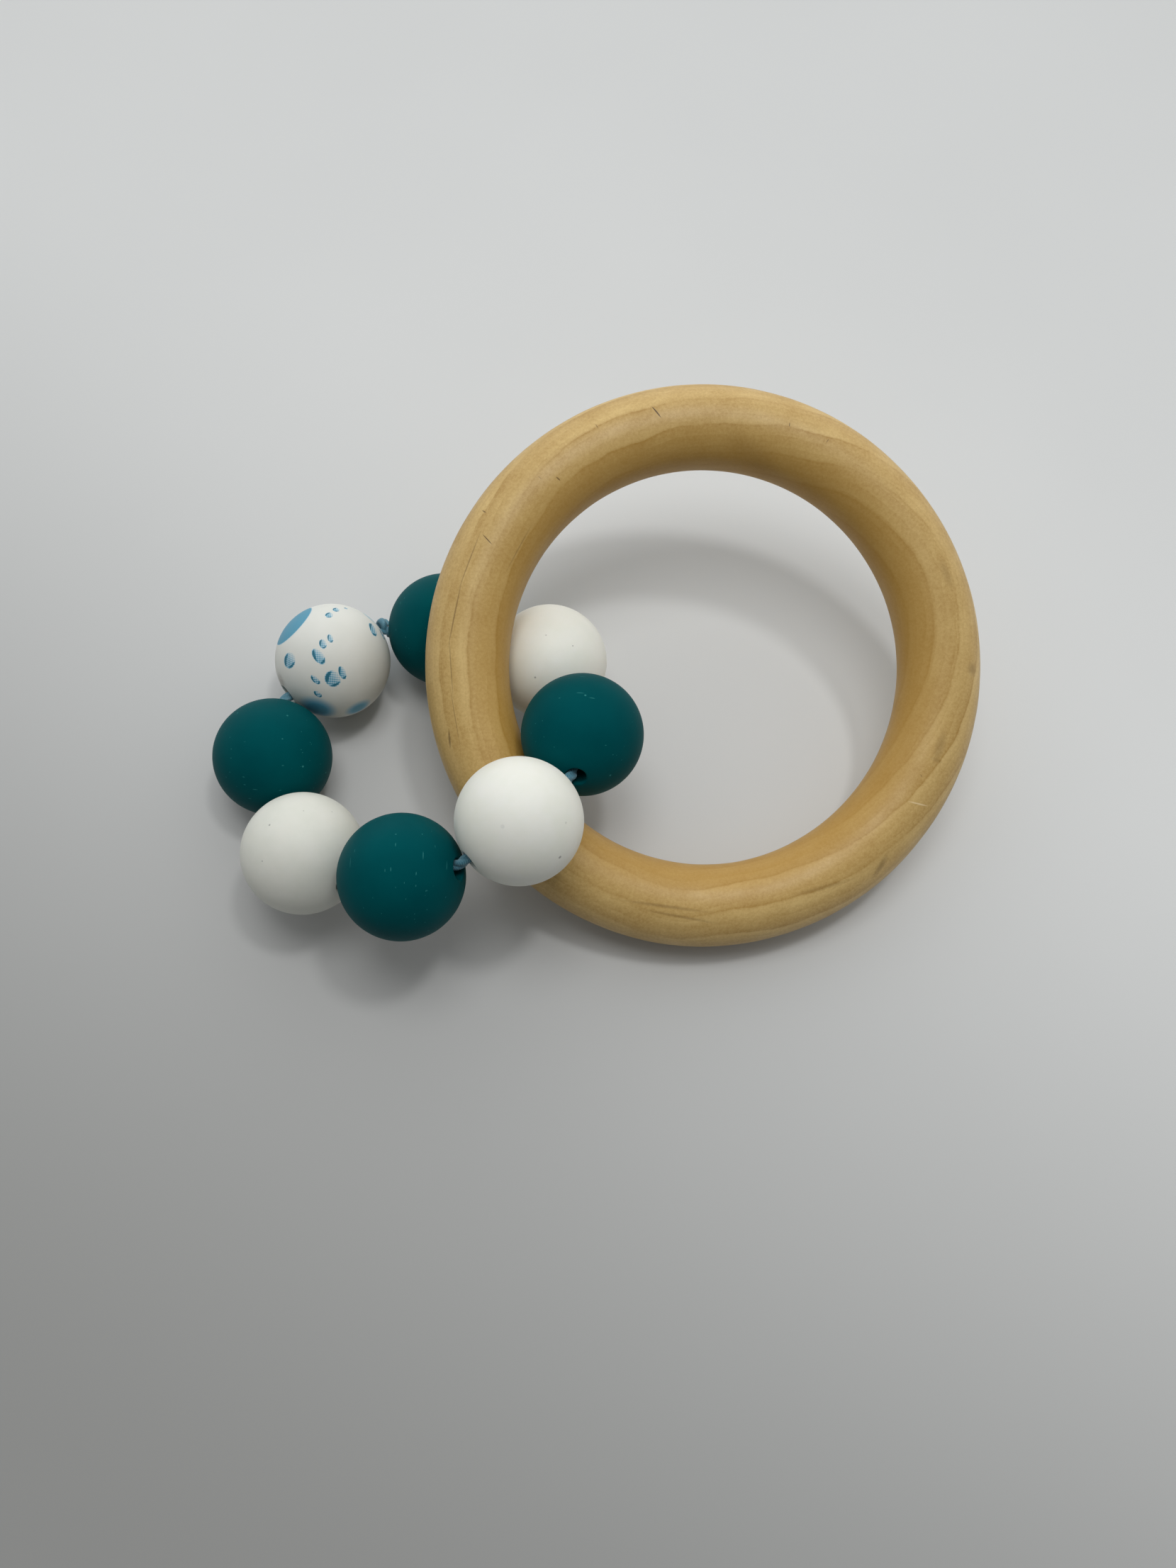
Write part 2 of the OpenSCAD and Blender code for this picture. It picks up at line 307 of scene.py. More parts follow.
# Teal silicone, moulded matt: deep even colour with a broad dull sheen, and pale lint and hairs that
# cling to it.
for count, (i, parting) in enumerate([(0, 40), (2, 78), (4, 10), (6, 150)]):
    bead = moulded_bead(i, "teal_bead_%d" % (count + 1))
    teal = bpy.data.materials.new("matt_teal_silicone_%d" % (count + 1))
    teal.use_nodes = True
    t = teal.node_tree
    t.nodes.clear()
    place = add(t, "ShaderNodeTexCoord").outputs["Object"]
    local_mm = add(t, "ShaderNodeVectorMath", {0: place, "Scale": 1000.0}, operation="SCALE").outputs[0]
    own_mm = add(t, "ShaderNodeVectorMath", {0: local_mm,
        1: (31.0 * count, 17.0 * count, 53.0 * count)}).outputs[0]
    cloud = add(t, "ShaderNodeTexNoise", {"Vector": own_mm, "Scale": 0.22, "Detail": 3.0})
    colour = add(t, "ShaderNodeMix", {"Factor": cloud.outputs["Fac"], "A": linear("#004045"),
        "B": linear("#004E52")}, data_type="RGBA").outputs["Result"]
    # Lint specks about 0.25 mm across, one in every 2 mm or so, on two in five of those places.
    grain = add(t, "ShaderNodeTexVoronoi", {"Vector": own_mm, "Scale": 0.45, "Randomness": 1.0})
    pick = add(t, "ShaderNodeSeparateColor", {"Color": grain.outputs["Color"]})
    pick = add(t, "ShaderNodeMath", {0: pick.outputs[0], 1: 0.6}, operation="GREATER_THAN")
    speck = add(t, "ShaderNodeMapRange", {"Value": grain.outputs["Distance"], "From Min": 0.04,
        "From Max": 0.07, "To Min": 0.6, "To Max": 0.0})
    lint = add(t, "ShaderNodeMath", {0: speck.outputs[0], 1: pick.outputs[0]},
        operation="MULTIPLY").outputs[0]
    # Short hairs 0.1 mm thick and up to 1.3 mm long, lying three ways.
    for lean in ((20, 50, 10), (100, 15, 70), (160, 80, 130)):
        laid = add(t, "ShaderNodeMapping", {"Vector": own_mm, "Rotation": [math.radians(a) for a in lean],
            "Scale": (0.09, 1.0, 1.0)})
        hair = add(t, "ShaderNodeTexVoronoi", {"Vector": laid.outputs[0], "Scale": 1.6, "Randomness": 1.0})
        pick = add(t, "ShaderNodeSeparateColor", {"Color": hair.outputs["Color"]})
        pick = add(t, "ShaderNodeMath", {0: pick.outputs[1], 1: 0.66}, operation="GREATER_THAN")
        hair = add(t, "ShaderNodeMapRange", {"Value": hair.outputs["Distance"], "From Min": 0.05,
            "From Max": 0.10, "To Min": 0.5, "To Max": 0.0})
        hair = add(t, "ShaderNodeMath", {0: hair.outputs[0], 1: pick.outputs[0]}, operation="MULTIPLY")
        lint = add(t, "ShaderNodeMath", {0: lint, 1: hair.outputs[0]}, operation="MAXIMUM").outputs[0]
    colour = add(t, "ShaderNodeMix", {"Factor": lint, "A": colour, "B": linear("#3F8F8C")},
        data_type="RGBA").outputs["Result"]
    # The mould's parting line is a low ridge 0.12 mm wide that runs from mouth to mouth.
    a = math.radians(parting)
    across = add(t, "ShaderNodeVectorMath", {0: local_mm, 1: (math.sin(a), -math.cos(a), 0.0)},
        operation="DOT_PRODUCT")
    across = add(t, "ShaderNodeMath", {0: across.outputs["Value"]}, operation="ABSOLUTE")
    seam = add(t, "ShaderNodeMapRange", {"Value": across.outputs[0], "From Min": 0.03, "From Max": 0.09,
        "To Min": 1.0, "To Max": 0.0}, interpolation_type="SMOOTHSTEP").outputs[0]
    fine = add(t, "ShaderNodeTexNoise", {"Vector": own_mm, "Scale": 7.0, "Detail": 3.0})
    relief = add(t, "ShaderNodeMath", {0: fine.outputs["Fac"], 1: 0.25, 2: seam}, operation="MULTIPLY_ADD")
    bump = add(t, "ShaderNodeBump", {"Height": relief.outputs[0], "Strength": 0.25, "Distance": 0.03 * mm})
    dull = add(t, "ShaderNodeMapRange", {"Value": fine.outputs["Fac"], "To Min": 0.50, "To Max": 0.62})
    skin = add(t, "ShaderNodeBsdfPrincipled", {"Base Color": colour, "Roughness": dull.outputs[0],
        "IOR": 1.41, "Specular IOR Level": 0.10, "Specular Tint": linear("#4FB9B6"), "Sheen Weight": 0.02,
        "Sheen Roughness": 0.4, "Sheen Tint": linear("#4FB9B6"), "Normal": bump.outputs[0]})
    add(t, "ShaderNodeOutputMaterial", {"Surface": skin.outputs[0]})
    bead.data.materials.append(teal)
    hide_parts(strand[i])
    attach(bead, strand[i])

# White silicone, moulded matt: warm white that light enters a little, with faint grey rubs and a few dark
# specks. Each bead's own marks: turn and rise in degrees, width in mm, how dark.
rubs = {3: [(-82, -8, 0.28, 0.55), (-51, 5, 0.22, 0.4), (-136, 19, 0.2, 0.3)],
    5: [(-23, 2, 0.42, 0.6), (-47, 23, 0.3, 0.2), (-82, -24, 0.5, 0.12)],
    7: [(-139, -33, 0.28, 0.55), (-77, -42, 0.2, 0.5), (-94, -18, 0.2, 0.4)]}
# The first white bead's two tones are darker than the others' as painted shade, for the shade it sits in
# among its neighbours.
for count, (i, tones) in enumerate([(3, ("#D7D8CE", "#DCDCD3")), (5, ("#E5E6DB", "#E9E9E1")),
        (7, ("#EFF0E5", "#F3F3EA"))]):
    bead = moulded_bead(i, "white_bead_%d" % (count + 1))
    white = bpy.data.materials.new("matt_white_silicone_%d" % (count + 1))
    white.use_nodes = True
    t = white.node_tree
    t.nodes.clear()
    place = add(t, "ShaderNodeTexCoord").outputs["Object"]
    local_mm = add(t, "ShaderNodeVectorMath", {0: place, "Scale": 1000.0}, operation="SCALE").outputs[0]
    own_mm = add(t, "ShaderNodeVectorMath", {0: local_mm, 1: (23.0 * count, 41.0 * count,
        11.0 * count)}).outputs[0]
    cloud = add(t, "ShaderNodeTexNoise", {"Vector": own_mm, "Scale": 0.28, "Detail": 4.0, "Roughness": 0.6})
    cloud = add(t, "ShaderNodeMapRange", {"Value": cloud.outputs["Fac"], "From Min": 0.35, "From Max": 0.65})
    colour = add(t, "ShaderNodeMix", {"Factor": cloud.outputs[0], "A": linear(tones[0]),
        "B": linear(tones[1])}, data_type="RGBA").outputs["Result"]
    grime = None
    for turn, rise, width, dark in rubs[i]:
        spot = add(t, "ShaderNodeVectorMath", {0: local_mm, 1: on_bead(turn, rise) * (bead_r / mm)},
            operation="DISTANCE")
        spot = add(t, "ShaderNodeMapRange", {"Value": spot.outputs["Value"], "From Min": width * 0.25,
            "From Max": width * 0.6, "To Min": dark, "To Max": 0.0},
            interpolation_type="SMOOTHSTEP").outputs[0]
        grime = spot if grime is None else add(t, "ShaderNodeMath", {0: grime, 1: spot},
            operation="MAXIMUM").outputs[0]
    # Dust specks 0.15 mm across on a quarter of the places that lie 2.5 mm apart.
    grain = add(t, "ShaderNodeTexVoronoi", {"Vector": own_mm, "Scale": 0.4, "Randomness": 1.0})
    pick = add(t, "ShaderNodeSeparateColor", {"Color": grain.outputs["Color"]})
    pick = add(t, "ShaderNodeMath", {0: pick.outputs[0], 1: 0.72}, operation="GREATER_THAN")
    speck = add(t, "ShaderNodeMapRange", {"Value": grain.outputs["Distance"], "From Min": 0.02,
        "From Max": 0.045, "To Min": 0.4, "To Max": 0.0})
    speck = add(t, "ShaderNodeMath", {0: speck.outputs[0], 1: pick.outputs[0]}, operation="MULTIPLY")
    grime = add(t, "ShaderNodeMath", {0: grime, 1: speck.outputs[0]}, operation="MAXIMUM").outputs[0]
    colour = add(t, "ShaderNodeMix", {"Factor": grime, "A": colour, "B": linear("#5E5F5C")},
        data_type="RGBA").outputs["Result"]
    fine = add(t, "ShaderNodeTexNoise", {"Vector": own_mm, "Scale": 6.0, "Detail": 3.0})
    bump = add(t, "ShaderNodeBump", {"Height": fine.outputs["Fac"], "Strength": 0.2, "Distance": 0.02 * mm})
    dull = add(t, "ShaderNodeMapRange", {"Value": cloud.outputs[0], "To Min": 0.48, "To Max": 0.58})
    skin = add(t, "ShaderNodeBsdfPrincipled", {"Base Color": colour, "Roughness": dull.outputs[0],
        "IOR": 1.41, "Subsurface Weight": 0.2, "Subsurface Radius": (1.0, 0.85, 0.7),
        "Subsurface Scale": 1.5 * mm, "Normal": bump.outputs[0]})
    add(t, "ShaderNodeOutputMaterial", {"Surface": skin.outputs[0]})
    bead.data.materials.append(white)
    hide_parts(strand[i])
    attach(bead, strand[i])


# ---- The printed bead ----------------------------------------------------------------------------------
# The same white bead, pad printed all over with water drops in one blue ink: a large clear-edged round,
# small drops shaded by a fine dot screen, and rounds that fade out where the pad slipped off the curve.
bead = moulded_bead(1, "printed_bead")
printed = bpy.data.materials.new("matt_white_silicone_pad_printed")
printed.use_nodes = True
t = printed.node_tree
t.nodes.clear()
place = add(t, "ShaderNodeTexCoord").outputs["Object"]
local_mm = add(t, "ShaderNodeVectorMath", {0: place, "Scale": 1000.0}, operation="SCALE").outputs[0]
facing = add(t, "ShaderNodeVectorMath", {0: local_mm}, operation="NORMALIZE").outputs[0]
# The pad comes down slantwise to the bore, so the print's own up leans 40 degrees off it.
print_up = Vector((0.77, 0.0, -0.64))
# Each drop: turn, rise, lean in degrees, width and height in mm.
drops = [(-70, -18, 0, 1.0, 1.1), (-64, -29, 0, 0.9, 1.1), (-62, -41, 0, 0.5, 0.5),
    (-95, 7, 20, 0.9, 1.3), (-95, -2, 20, 0.7, 1.2), (-102, 18, 35, 1.3, 2.3), (-77, 44, 10, 2.2, 2.0),
    (-120, 35, 35, 0.8, 1.5), (-129, 20, 20, 2.0, 2.2), (-129, 9, 30, 0.9, 1.8), (-138, 42, 30, 0.8, 1.2),
    (-111, -52, 0, 1.3, 2.2), (-132, -66, 15, 0.8, 1.6), (-20, -40, 10, 1.4, 1.6), (0, 45, 20, 2.0, 2.1),
    (15, -10, 20, 1.2, 1.6), (40, 25, 30, 0.9, 1.3), (55, -30, 0, 2.1, 2.2), (75, 5, 15, 1.0, 1.4),
    (95, 40, 25, 1.6, 1.9), (120, -25, 10, 0.9, 1.1), (135, -38, 0, 1.8, 2.0), (150, 30, 20, 1.2, 1.5)]
within = add(t, "ShaderNodeCombineXYZ", {"X": 9.0, "Y": 9.0, "Z": 9.0}).outputs[0]
for turn, rise, lean, width, height in drops:
    out = on_bead(turn, rise)
    up = Matrix.Rotation(math.radians(lean), 3, out) @ (print_up - out * print_up.dot(out)).normalized()
    turned = upright(up.cross(out), out, Vector((0, 0, 0))).to_euler()
    laid = add(t, "ShaderNodeMapping", {"Vector": local_mm, "Location": out * (bead_r / mm),
        "Rotation": turned, "Scale": (width / 2, height / 2, 1.2)}, vector_type="TEXTURE").outputs[0]
    near = add(t, "ShaderNodeVectorMath", {0: laid}, operation="LENGTH").outputs["Value"]
    near = add(t, "ShaderNodeMath", {0: near, 1: 1.1}, operation="LESS_THAN").outputs[0]
    within = add(t, "ShaderNodeMix", {"Factor": near, "A": within, "B": laid},
        data_type="RGBA").outputs["Result"]
edge = add(t, "ShaderNodeVectorMath", {0: within}, operation="LENGTH").outputs["Value"]
inside = add(t, "ShaderNodeMapRange", {"Value": edge, "From Min": 0.84, "From Max": 1.06, "To Min": 1.0,
    "To Max": 0.0}, interpolation_type="SMOOTHSTEP").outputs[0]
# Every drop is solid ink at its upper left and its foot, a pale tone in its middle, and open on its right.
rim = add(t, "ShaderNodeMapRange", {"Value": edge, "From Min": 0.12, "From Max": 0.58, "To Min": 0.0,
    "To Max": 1.0}, interpolation_type="SMOOTHSTEP").outputs[0]
upper = add(t, "ShaderNodeVectorMath", {0: within, 1: (-0.80, 0.60, 0.0)}, operation="DOT_PRODUCT")
upper = add(t, "ShaderNodeMapRange", {"Value": upper.outputs["Value"], "From Min": 0.15, "From Max": 0.55,
    "To Min": 0.0, "To Max": 1.0}, interpolation_type="SMOOTHSTEP").outputs[0]
foot = add(t, "ShaderNodeVectorMath", {0: within, 1: (0.10, -1.0, 0.0)}, operation="DOT_PRODUCT")
foot = add(t, "ShaderNodeMapRange", {"Value": foot.outputs["Value"], "From Min": 0.40, "From Max": 0.75,
    "To Min": 0.0, "To Max": 1.0}, interpolation_type="SMOOTHSTEP").outputs[0]
solid = add(t, "ShaderNodeMath", {0: upper, 1: foot}, operation="MAXIMUM").outputs[0]
pale = add(t, "ShaderNodeVectorMath", {0: within, 1: (0.95, 0.30, 0.0)}, operation="DOT_PRODUCT")
pale = add(t, "ShaderNodeMapRange", {"Value": pale.outputs["Value"], "From Min": -0.2, "From Max": 1.0,
    "To Min": 0.55, "To Max": 0.16}, interpolation_type="SMOOTHSTEP").outputs[0]
shade = add(t, "ShaderNodeMath", {0: rim, 1: solid}, operation="MULTIPLY").outputs[0]
shade = add(t, "ShaderNodeMath", {0: shade, 1: pale}, operation="MAXIMUM").outputs[0]
ink = add(t, "ShaderNodeMath", {0: shade, 1: inside}, operation="MULTIPLY").outputs[0]
# The dot screen: 0.22 mm squares that break up the middle tones.
slant = add(t, "ShaderNodeMapping", {"Vector": local_mm, "Rotation": (0.0, math.radians(-40),
    0.0)}).outputs[0]
screen = add(t, "ShaderNodeVectorMath", {0: slant, "Scale": math.tau / 0.22}, operation="SCALE").outputs[0]
screen = add(t, "ShaderNodeVectorMath", {0: screen}, operation="SINE").outputs[0]
screen = add(t, "ShaderNodeSeparateXYZ", {"Vector": screen})
screen = add(t, "ShaderNodeMath", {0: screen.outputs["X"], 1: screen.outputs["Z"]}, operation="ADD")
screen = add(t, "ShaderNodeMath", {0: screen.outputs[0], 1: 0.8}, operation="MULTIPLY")
middle_tone = add(t, "ShaderNodeMath", {0: ink, 1: add(t, "ShaderNodeMath", {0: 1.0, 1: ink},
    operation="SUBTRACT").outputs[0]}, operation="MULTIPLY")
ink = add(t, "ShaderNodeMath", {0: screen.outputs[0], 1: middle_tone.outputs[0], 2: ink},
    operation="MULTIPLY_ADD").outputs[0]
# Plain rounds of ink: turn, rise, radius and soft edge in degrees, strength.
for turn, rise, radius, soft, strength in [(-35, 13, 25.5, 0.8, 0.76), (-170, 52, 13, 9, 0.70),
        (176, 12, 9, 7, 0.70), (-70, -70, 7, 4, 0.35), (30, 60, 15, 2, 0.66), (110, -60, 17, 1, 0.70),
        (85, 65, 8, 6, 0.6), (10, -68, 10, 6, 0.62)]:
    round_ = add(t, "ShaderNodeVectorMath", {0: facing, 1: on_bead(turn, rise)}, operation="DOT_PRODUCT")
    round_ = add(t, "ShaderNodeMapRange", {"Value": round_.outputs["Value"],
        "From Min": math.cos(math.radians(radius + soft)), "From Max": math.cos(math.radians(radius - soft)),
        "To Min": 0.0, "To Max": strength}, interpolation_type="SMOOTHSTEP").outputs[0]
    ink = add(t, "ShaderNodeMath", {0: ink, 1: round_}, operation="MAXIMUM").outputs[0]
# The white under the print is darker than a clean white bead's as painted shade, for the shade this bead
# sits in.
cloud = add(t, "ShaderNodeTexNoise", {"Vector": local_mm, "Scale": 0.3, "Detail": 4.0})
white = add(t, "ShaderNodeMix", {"Factor": cloud.outputs["Fac"], "A": linear("#D6D7CF"),
    "B": linear("#E0E0DA")}, data_type="RGBA").outputs["Result"]
# Thin ink is a clear light blue, and two passes of it a deep grey blue.
twice = add(t, "ShaderNodeMapRange", {"Value": ink, "From Min": 0.6, "From Max": 1.0}).outputs[0]
ink_tone = add(t, "ShaderNodeMix", {"Factor": twice, "A": linear("#64ABC8"), "B": linear("#2B6C80")},
    data_type="RGBA").outputs["Result"]
cover = add(t, "ShaderNodeMapRange", {"Value": ink, "From Min": 0.0, "From Max": 0.65}).outputs[0]
colour = add(t, "ShaderNodeMix", {"Factor": cover, "A": white, "B": ink_tone},
    data_type="RGBA").outputs["Result"]
# A faint brown rub beside one mouth.
rub = add(t, "ShaderNodeVectorMath", {0: facing, 1: on_bead(-55, 74)}, operation="DISTANCE")
rub = add(t, "ShaderNodeMapRange", {"Value": rub.outputs["Value"], "From Min": 0.02, "From Max": 0.2,
    "To Min": 0.8, "To Max": 0.0}, interpolation_type="SMOOTHSTEP")
patchy = add(t, "ShaderNodeTexNoise", {"Vector": local_mm, "Scale": 2.2, "Detail": 3.0})
rub = add(t, "ShaderNodeMath", {0: rub.outputs[0], 1: patchy.outputs["Fac"]}, operation="MULTIPLY")
colour = add(t, "ShaderNodeMix", {"Factor": rub.outputs[0], "A": colour, "B": linear("#6E5A44")},
    data_type="RGBA").outputs["Result"]
fine = add(t, "ShaderNodeTexNoise", {"Vector": local_mm, "Scale": 6.0, "Detail": 3.0})
relief = add(t, "ShaderNodeMath", {0: fine.outputs["Fac"], 1: 0.4, 2: ink}, operation="MULTIPLY_ADD")
bump = add(t, "ShaderNodeBump", {"Height": relief.outputs[0], "Strength": 0.15, "Distance": 0.02 * mm})
dull = add(t, "ShaderNodeMapRange", {"Value": ink, "To Min": 0.54, "To Max": 0.44})
skin = add(t, "ShaderNodeBsdfPrincipled", {"Base Color": colour, "Roughness": dull.outputs[0], "IOR": 1.41,
    "Subsurface Weight": 0.15, "Subsurface Radius": (1.0, 0.85, 0.7), "Subsurface Scale": 1.0 * mm,
    "Normal": bump.outputs[0]})
add(t, "ShaderNodeOutputMaterial", {"Surface": skin.outputs[0]})
bead.data.materials.append(printed)
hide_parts("bead_print")
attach(bead, "bead_print")


# ---- The cord ------------------------------------------------------------------------------------------
# One closed length of twisted satin nylon, 1.3 mm thick: three bundles of shiny threads laid round each
# other. It is straight in each bore and bends over in the crevice between two beads.
cord_r = 0.65 * mm
lay_length = 5.2 * mm
nylon = bpy.data.materials.new("twisted_satin_nylon")
nylon.use_nodes = True
t = nylon.node_tree
t.nodes.clear()
# The map's U is the turn round the cord and its V is millimetres along it.
along = add(t, "ShaderNodeSeparateXYZ", {"Vector": add(t, "ShaderNodeUVMap", uv_map="laid").outputs["UV"]})
turn = add(t, "ShaderNodeMath", {0: along.outputs["X"], 1: math.tau * 18}, operation="MULTIPLY")
turn = add(t, "ShaderNodeMath", {0: along.outputs["Y"], 1: math.tau * 3.4, 2: turn.outputs[0]},
    operation="MULTIPLY_ADD")
fray = add(t, "ShaderNodeTexNoise", {"Vector": add(t, "ShaderNodeTexCoord").outputs["Object"],
    "Scale": 1600.0, "Detail": 2.0})
turn = add(t, "ShaderNodeMath", {0: fray.outputs["Fac"], 1: 3.0, 2: turn.outputs[0]},
    operation="MULTIPLY_ADD")
thread = add(t, "ShaderNodeMath", {0: turn.outputs[0]}, operation="SINE")
thread = add(t, "ShaderNodeMapRange", {"Value": thread.outputs[0], "From Min": -1.0, "From Max": 1.0})
patch = add(t, "ShaderNodeTexNoise", {"Vector": add(t, "ShaderNodeTexCoord").outputs["Object"],
    "Scale": 900.0, "Detail": 2.0})
tone = add(t, "ShaderNodeMath", {0: thread.outputs[0], 1: patch.outputs["Fac"]}, operation="MULTIPLY")
colour = add(t, "ShaderNodeMix", {"Factor": tone.outputs[0], "A": linear("#205F76"), "B": linear("#93C6D2")},
    data_type="RGBA").outputs["Result"]
bump = add(t, "ShaderNodeBump", {"Height": thread.outputs[0], "Strength": 0.7, "Distance": 0.05 * mm})
skin = add(t, "ShaderNodeBsdfPrincipled", {"Base Color": colour, "Roughness": 0.38, "IOR": 1.53,
    "Sheen Weight": 0.2, "Sheen Roughness": 0.35, "Normal": bump.outputs[0]})
add(t, "ShaderNodeOutputMaterial", {"Surface": skin.outputs[0]})


def even_path(points, step):
    """The same path with its points a step apart."""
    out, left = [points[0]], step
    for a, b in zip(points, points[1:]):
        d = (b - a).length
        while d > 0 and left <= d:
            a = a + (b - a) * (left / d)
            out.append(a)
            d = (b - a).length
            left = step
        left -= d
    return out


# How many points there are round the cord's section.
facets = 42


def laid_cord(name, path, radius, lay=lay_length, lobe=0.36, taper=None):
    """A twisted cord along a path, as a closed tube whose section is three round bundles."""
    rows, lengths, run = [], [], 0.0
    side = None
    for i, p in enumerate(path):
        ahead = (path[min(i + 1, len(path) - 1)] - path[max(i - 1, 0)]).normalized()
        side = (side or ahead.orthogonal())
        side = (side - ahead * side.dot(ahead)).normalized()
        other = ahead.cross(side)
        run += (p - path[i - 1]).length if i else 0.0
        size = radius * (taper(i / (len(path) - 1)) if taper else 1.0)
        row = []
        for k in range(facets):
            a = math.tau * k / facets
            best = 0.0
            for ply in range(3):
                d = a - math.tau * (ply / 3 + run / lay)
                b = lobe * math.sin(d)
                r = 1 - lobe
                if abs(b) < r:
                    best = max(best, lobe * math.cos(d) + math.sqrt(r * r - b * b))
            row.append(p + (side * math.cos(a) + other * math.sin(a)) * size * best)
        rows.append(row)
        lengths.append(run)
    piece = sheet_of_quads(name, rows, close_along=False)
    mesh = piece.data
    laid = mesh.uv_layers.new(name="laid")
    for face in mesh.polygons:
        ks = [mesh.loops[n].vertex_index % facets for n in face.loop_indices]
        wraps = max(ks) - min(ks) > facets // 2
        for n, k in zip(face.loop_indices, ks):
            u = (k + facets if wraps and k < facets // 2 else k) / facets
            laid.data[n].uv = (u, lengths[mesh.loops[n].vertex_index // facets] / mm)
    # Each end is closed with a flat face, inside a bead.
    work = bmesh.new()
    work.from_mesh(mesh)
    work.verts.ensure_lookup_table()
    for first in (0, (len(rows) - 1) * facets):
        ends = [work.verts[first + k] for k in range(facets)]
        work.faces.new(ends)
    bmesh.ops.recalc_face_normals(work, faces=work.faces)
    work.to_mesh(mesh)
    work.free()
    mesh.materials.append(nylon)
    return piece


# The cord is drawn tight, so in each bore it lies 0.5 mm off the middle, towards the inside of the strand.
in_bore = []
for centre, way in zip(bead_at, bore_way):
    inward = strand_middle - centre
    in_bore.append(centre + (inward - way * inward.dot(way)).normalized() * 0.5 * mm)


# The cord starts to bend 1.2 mm short of the ball's skin, and each bend's handles are 1.3 mm long.
bend_start = bead_r - 1.2 * mm
handle_mm = 1.3


def crevice(i, t):
    """A point of the bend between bead i and the next, with t from 0 to 1."""
    j = (i + 1) % 8
    a = in_bore[i] + bore_way[i] * bend_start
    d = in_bore[j] - bore_way[j] * bend_start
    b, c = a + bore_way[i] * handle_mm * mm, d - bore_way[j] * handle_mm * mm
    return a * (1 - t) ** 3 + b * 3 * t * (1 - t) ** 2 + c * 3 * t * t * (1 - t) + d * t ** 3


# The bodies beside each crevice's cord. One that sits on a single body is attached to it; one between two
# bodies, where the strand folds, is left unattached where it lies.
bends = {0: ("strand_ring_side", "strand_middle"), 1: ("strand_middle", "strand_end"),
    2: ("strand_end", None), 3: ("strand_end", "strand_middle"), 4: ("strand_middle", "strand_ring_side"),
    5: ("strand_ring_side", None), 6: ("strand_ring_side", None), 7: ("strand_ring_side", None)}
lengths_of = {0: "print_side", 1: "far_near", 2: "far", 3: "far_climb", 4: "climb", 5: "over_ring",
    6: "in_ring", 7: "under_ring"}
for i, (here, there) in bends.items():
    path = even_path([in_bore[i]] + [crevice(i, k / 40) for k in range(41)] + [in_bore[(i + 1) % 8]],
        0.12 * mm)
    thin = None
    if i == 0:
        # The cord is drawn thin where the knot grips it.
        def thin(x):
            return 1 - 0.35 * math.exp(-((x - 0.5) / 0.06) ** 2)
    piece = laid_cord("cord_" + lengths_of[i], path, cord_r, taper=thin)
    if there:
        middle, way = crevice(i, 0.5), (crevice(i, 0.6) - crevice(i, 0.4)).normalized()
        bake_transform(piece)
    else:
        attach(piece, here)
    if i == 0:
        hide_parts("cord_print_side")
    if i == 1:
        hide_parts("cord_far_side")
    if i == 4:
        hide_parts("cord_climb_side")
    if i == 5:
        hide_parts("cord_ring_side")


# ---- The knot ------------------------------------------------------------------------------------------
# The cord's two ends are tied together beside the bead behind the ring. Two wraps of the same cord, one
# 1 mm thick and one drawn down to 0.7 mm, show between that bead and the printed one.
knot_middle = crevice(0, 0.5)
knot_way = (crevice(0, 0.6) - crevice(0, 0.4)).normalized()
knot_out = knot_middle - strand_middle
knot_out.z = 0
knot_out = (knot_out - knot_way * knot_out.dot(knot_way)).normalized()
knot_up = knot_way.cross(knot_out)
# Each wrap: how far out, how far along, the loop's reach and the cord's thickness in mm, its turns, and
# its length in mm.
knot = []
for out, on, loop, thick, turns, length in ((1.0, 0.1, 0.50, 1.0, 1.35, 1.0),
        (0.0, -0.45, 0.42, 0.70, 1.2, 0.6)):
    path = []
    for k in range(121):
        a = math.tau * turns * k / 120
        path.append(knot_middle + knot_out * (out + loop * math.cos(a)) * mm
            + knot_up * loop * math.sin(a) * mm + knot_way * (on + (k / 120 - 0.5) * length) * mm)
    knot.append(laid_cord("knot_wrap_%d" % (len(knot) + 1), even_path(path, 0.06 * mm), thick / 2 * mm,
        lay=5.0 * mm, lobe=0.2))
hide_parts("knot")
for wrap in knot:
    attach(wrap, "strand_ring_side")


# ---- The table, the light and the camera ---------------------------------------------------------------
# A plain pale table top of satin laminate under a lamp, a soft panel and a room that is brighter beyond
# the ring.
ring_foot = Vector((ring_middle.x, ring_middle.y, 0))
bpy.ops.mesh.primitive_plane_add(size=3.0, location=(0, 0, -0.00005))
table = bpy.context.object
table.name = "table_top"
laminate = bpy.data.materials.new("satin_laminate")
laminate.use_nodes = True
t = laminate.node_tree
t.nodes.clear()
place = add(t, "ShaderNodeTexCoord").outputs["Object"]
haze = add(t, "ShaderNodeTexNoise", {"Vector": place, "Scale": 18.0, "Detail": 3.0})
colour = add(t, "ShaderNodeMix", {"Factor": haze.outputs["Fac"], "A": linear("#D4D5D4"),
    "B": linear("#DADBDA")}, data_type="RGBA").outputs["Result"]
# Crumbs of dust up to 0.4 mm across lie about 25 mm apart.
crumb = add(t, "ShaderNodeTexVoronoi", {"Vector": place, "Scale": 40.0, "Randomness": 1.0})
pick = add(t, "ShaderNodeSeparateColor", {"Color": crumb.outputs["Color"]})
size = add(t, "ShaderNodeMapRange", {"Value": pick.outputs[0], "To Min": 0.001, "To Max": 0.008})
crumb = add(t, "ShaderNodeMath", {0: crumb.outputs["Distance"], 1: size.outputs[0]}, operation="LESS_THAN")
crumb = add(t, "ShaderNodeMath", {0: crumb.outputs[0], 1: 0.45}, operation="MULTIPLY")
colour = add(t, "ShaderNodeMix", {"Factor": crumb.outputs[0], "A": colour, "B": linear("#6E6D68")},
    data_type="RGBA").outputs["Result"]
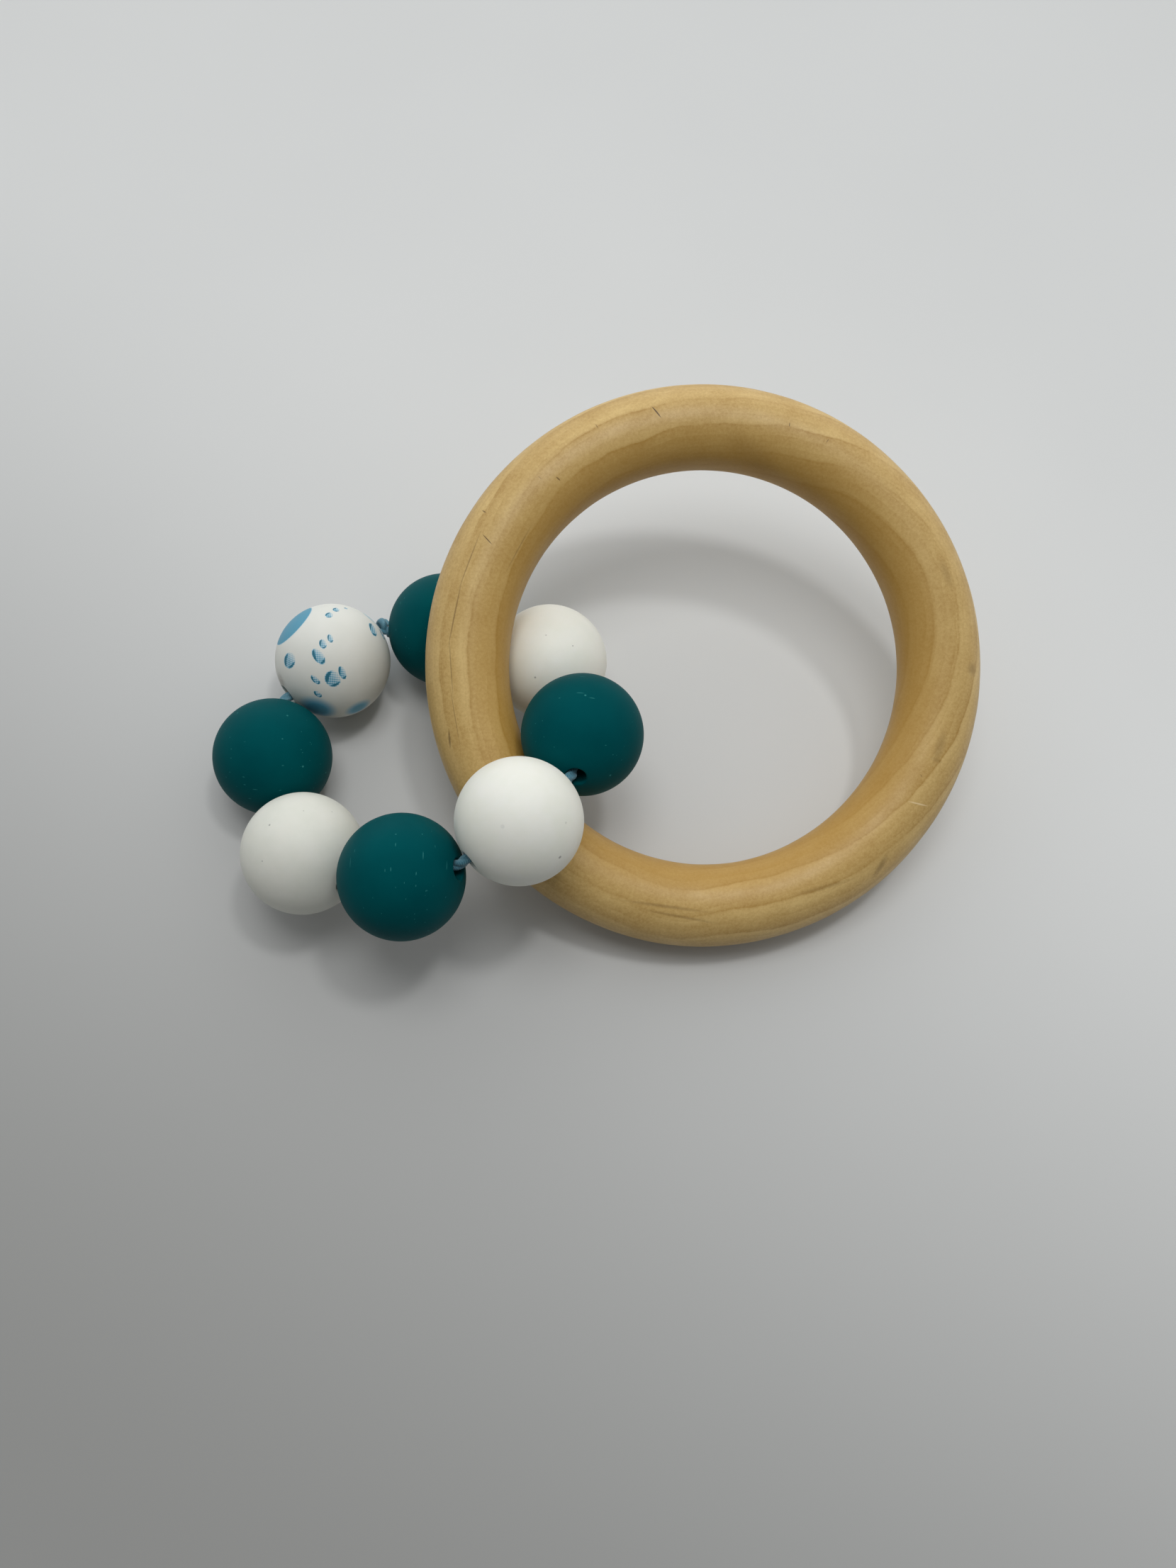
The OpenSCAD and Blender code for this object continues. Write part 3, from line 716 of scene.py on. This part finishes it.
# Painted shade: the top is greyer towards the near left corner, standing in for the light that falls off
# there.
near_left_painted_shade = add(t, "ShaderNodeVectorMath", {0: place, 1: (0.6, 1.0, 0.0)}, operation="DOT_PRODUCT")
near_left_painted_shade = add(t, "ShaderNodeMapRange", {"Value": near_left_painted_shade.outputs["Value"], "From Min": -0.14, "From Max": 0.05,
    "To Min": 1.0, "To Max": 0.0}, interpolation_type="SMOOTHSTEP")
colour = add(t, "ShaderNodeMix", {"Factor": near_left_painted_shade.outputs[0], "A": colour, "B": linear("#8D8D8B")},
    data_type="RGBA").outputs["Result"]
skin = add(t, "ShaderNodeBsdfPrincipled", {"Base Color": colour, "Roughness": 0.6, "IOR": 1.45})
add(t, "ShaderNodeOutputMaterial", {"Surface": skin.outputs[0]})
table.data.materials.append(laminate)

# Where each light stands from the ring, its width and its power.
lights = [("lamp", Vector((0.20, 0.19, 1.0)) * 0.88, 0.11, 1.25),
    ("panel", Vector((-0.05, 0.06, 0.5)), 0.22, 0.60)]
for name, stand, width, power in lights:
    light = bpy.data.objects.new(name, bpy.data.lights.new(name, "AREA"))
    light.data.shape = "DISK"
    light.data.size = width
    light.data.energy = power
    light.location = ring_foot + stand
    light.rotation_euler = (-stand).to_track_quat("-Z", "Y").to_euler()
    bpy.context.collection.objects.link(light)
sky = bpy.data.worlds.new("pale_ceiling")
sky.use_nodes = True
t = sky.node_tree
from_way = add(t, "ShaderNodeTexCoord").outputs["Generated"]
bright = add(t, "ShaderNodeVectorMath", {0: from_way, 1: (0.05, 1.0, 0.0)}, operation="DOT_PRODUCT")
bright = add(t, "ShaderNodeMapRange", {"Value": bright.outputs["Value"], "From Min": -0.37, "From Max": 1.0,
    "To Min": 0.22, "To Max": 1.55})
t.nodes["Background"].inputs["Color"].default_value = linear("#E9EBEC")
t.links.new(bright.outputs[0], t.nodes["Background"].inputs["Strength"])
bpy.context.scene.world = sky
bpy.context.scene.view_settings.view_transform = "Standard"

camera = bpy.data.objects.new("camera", bpy.data.cameras.new("camera"))
camera.data.sensor_width = 36
camera.data.lens = 29.2
camera.data.clip_start = 0.01
camera_at = ring_foot + Vector((-25.3, -66.0, 160.3)) * mm
look_at = ring_foot + Vector((-14.3, -9.6, 0)) * mm
look = (look_at - camera_at).to_track_quat("-Z", "Y").to_matrix().to_4x4()
camera.matrix_world = Matrix.Translation(camera_at) @ look @ Matrix.Rotation(math.radians(9.7), 4, "Z")
bpy.context.collection.objects.link(camera)
bpy.context.scene.camera = camera
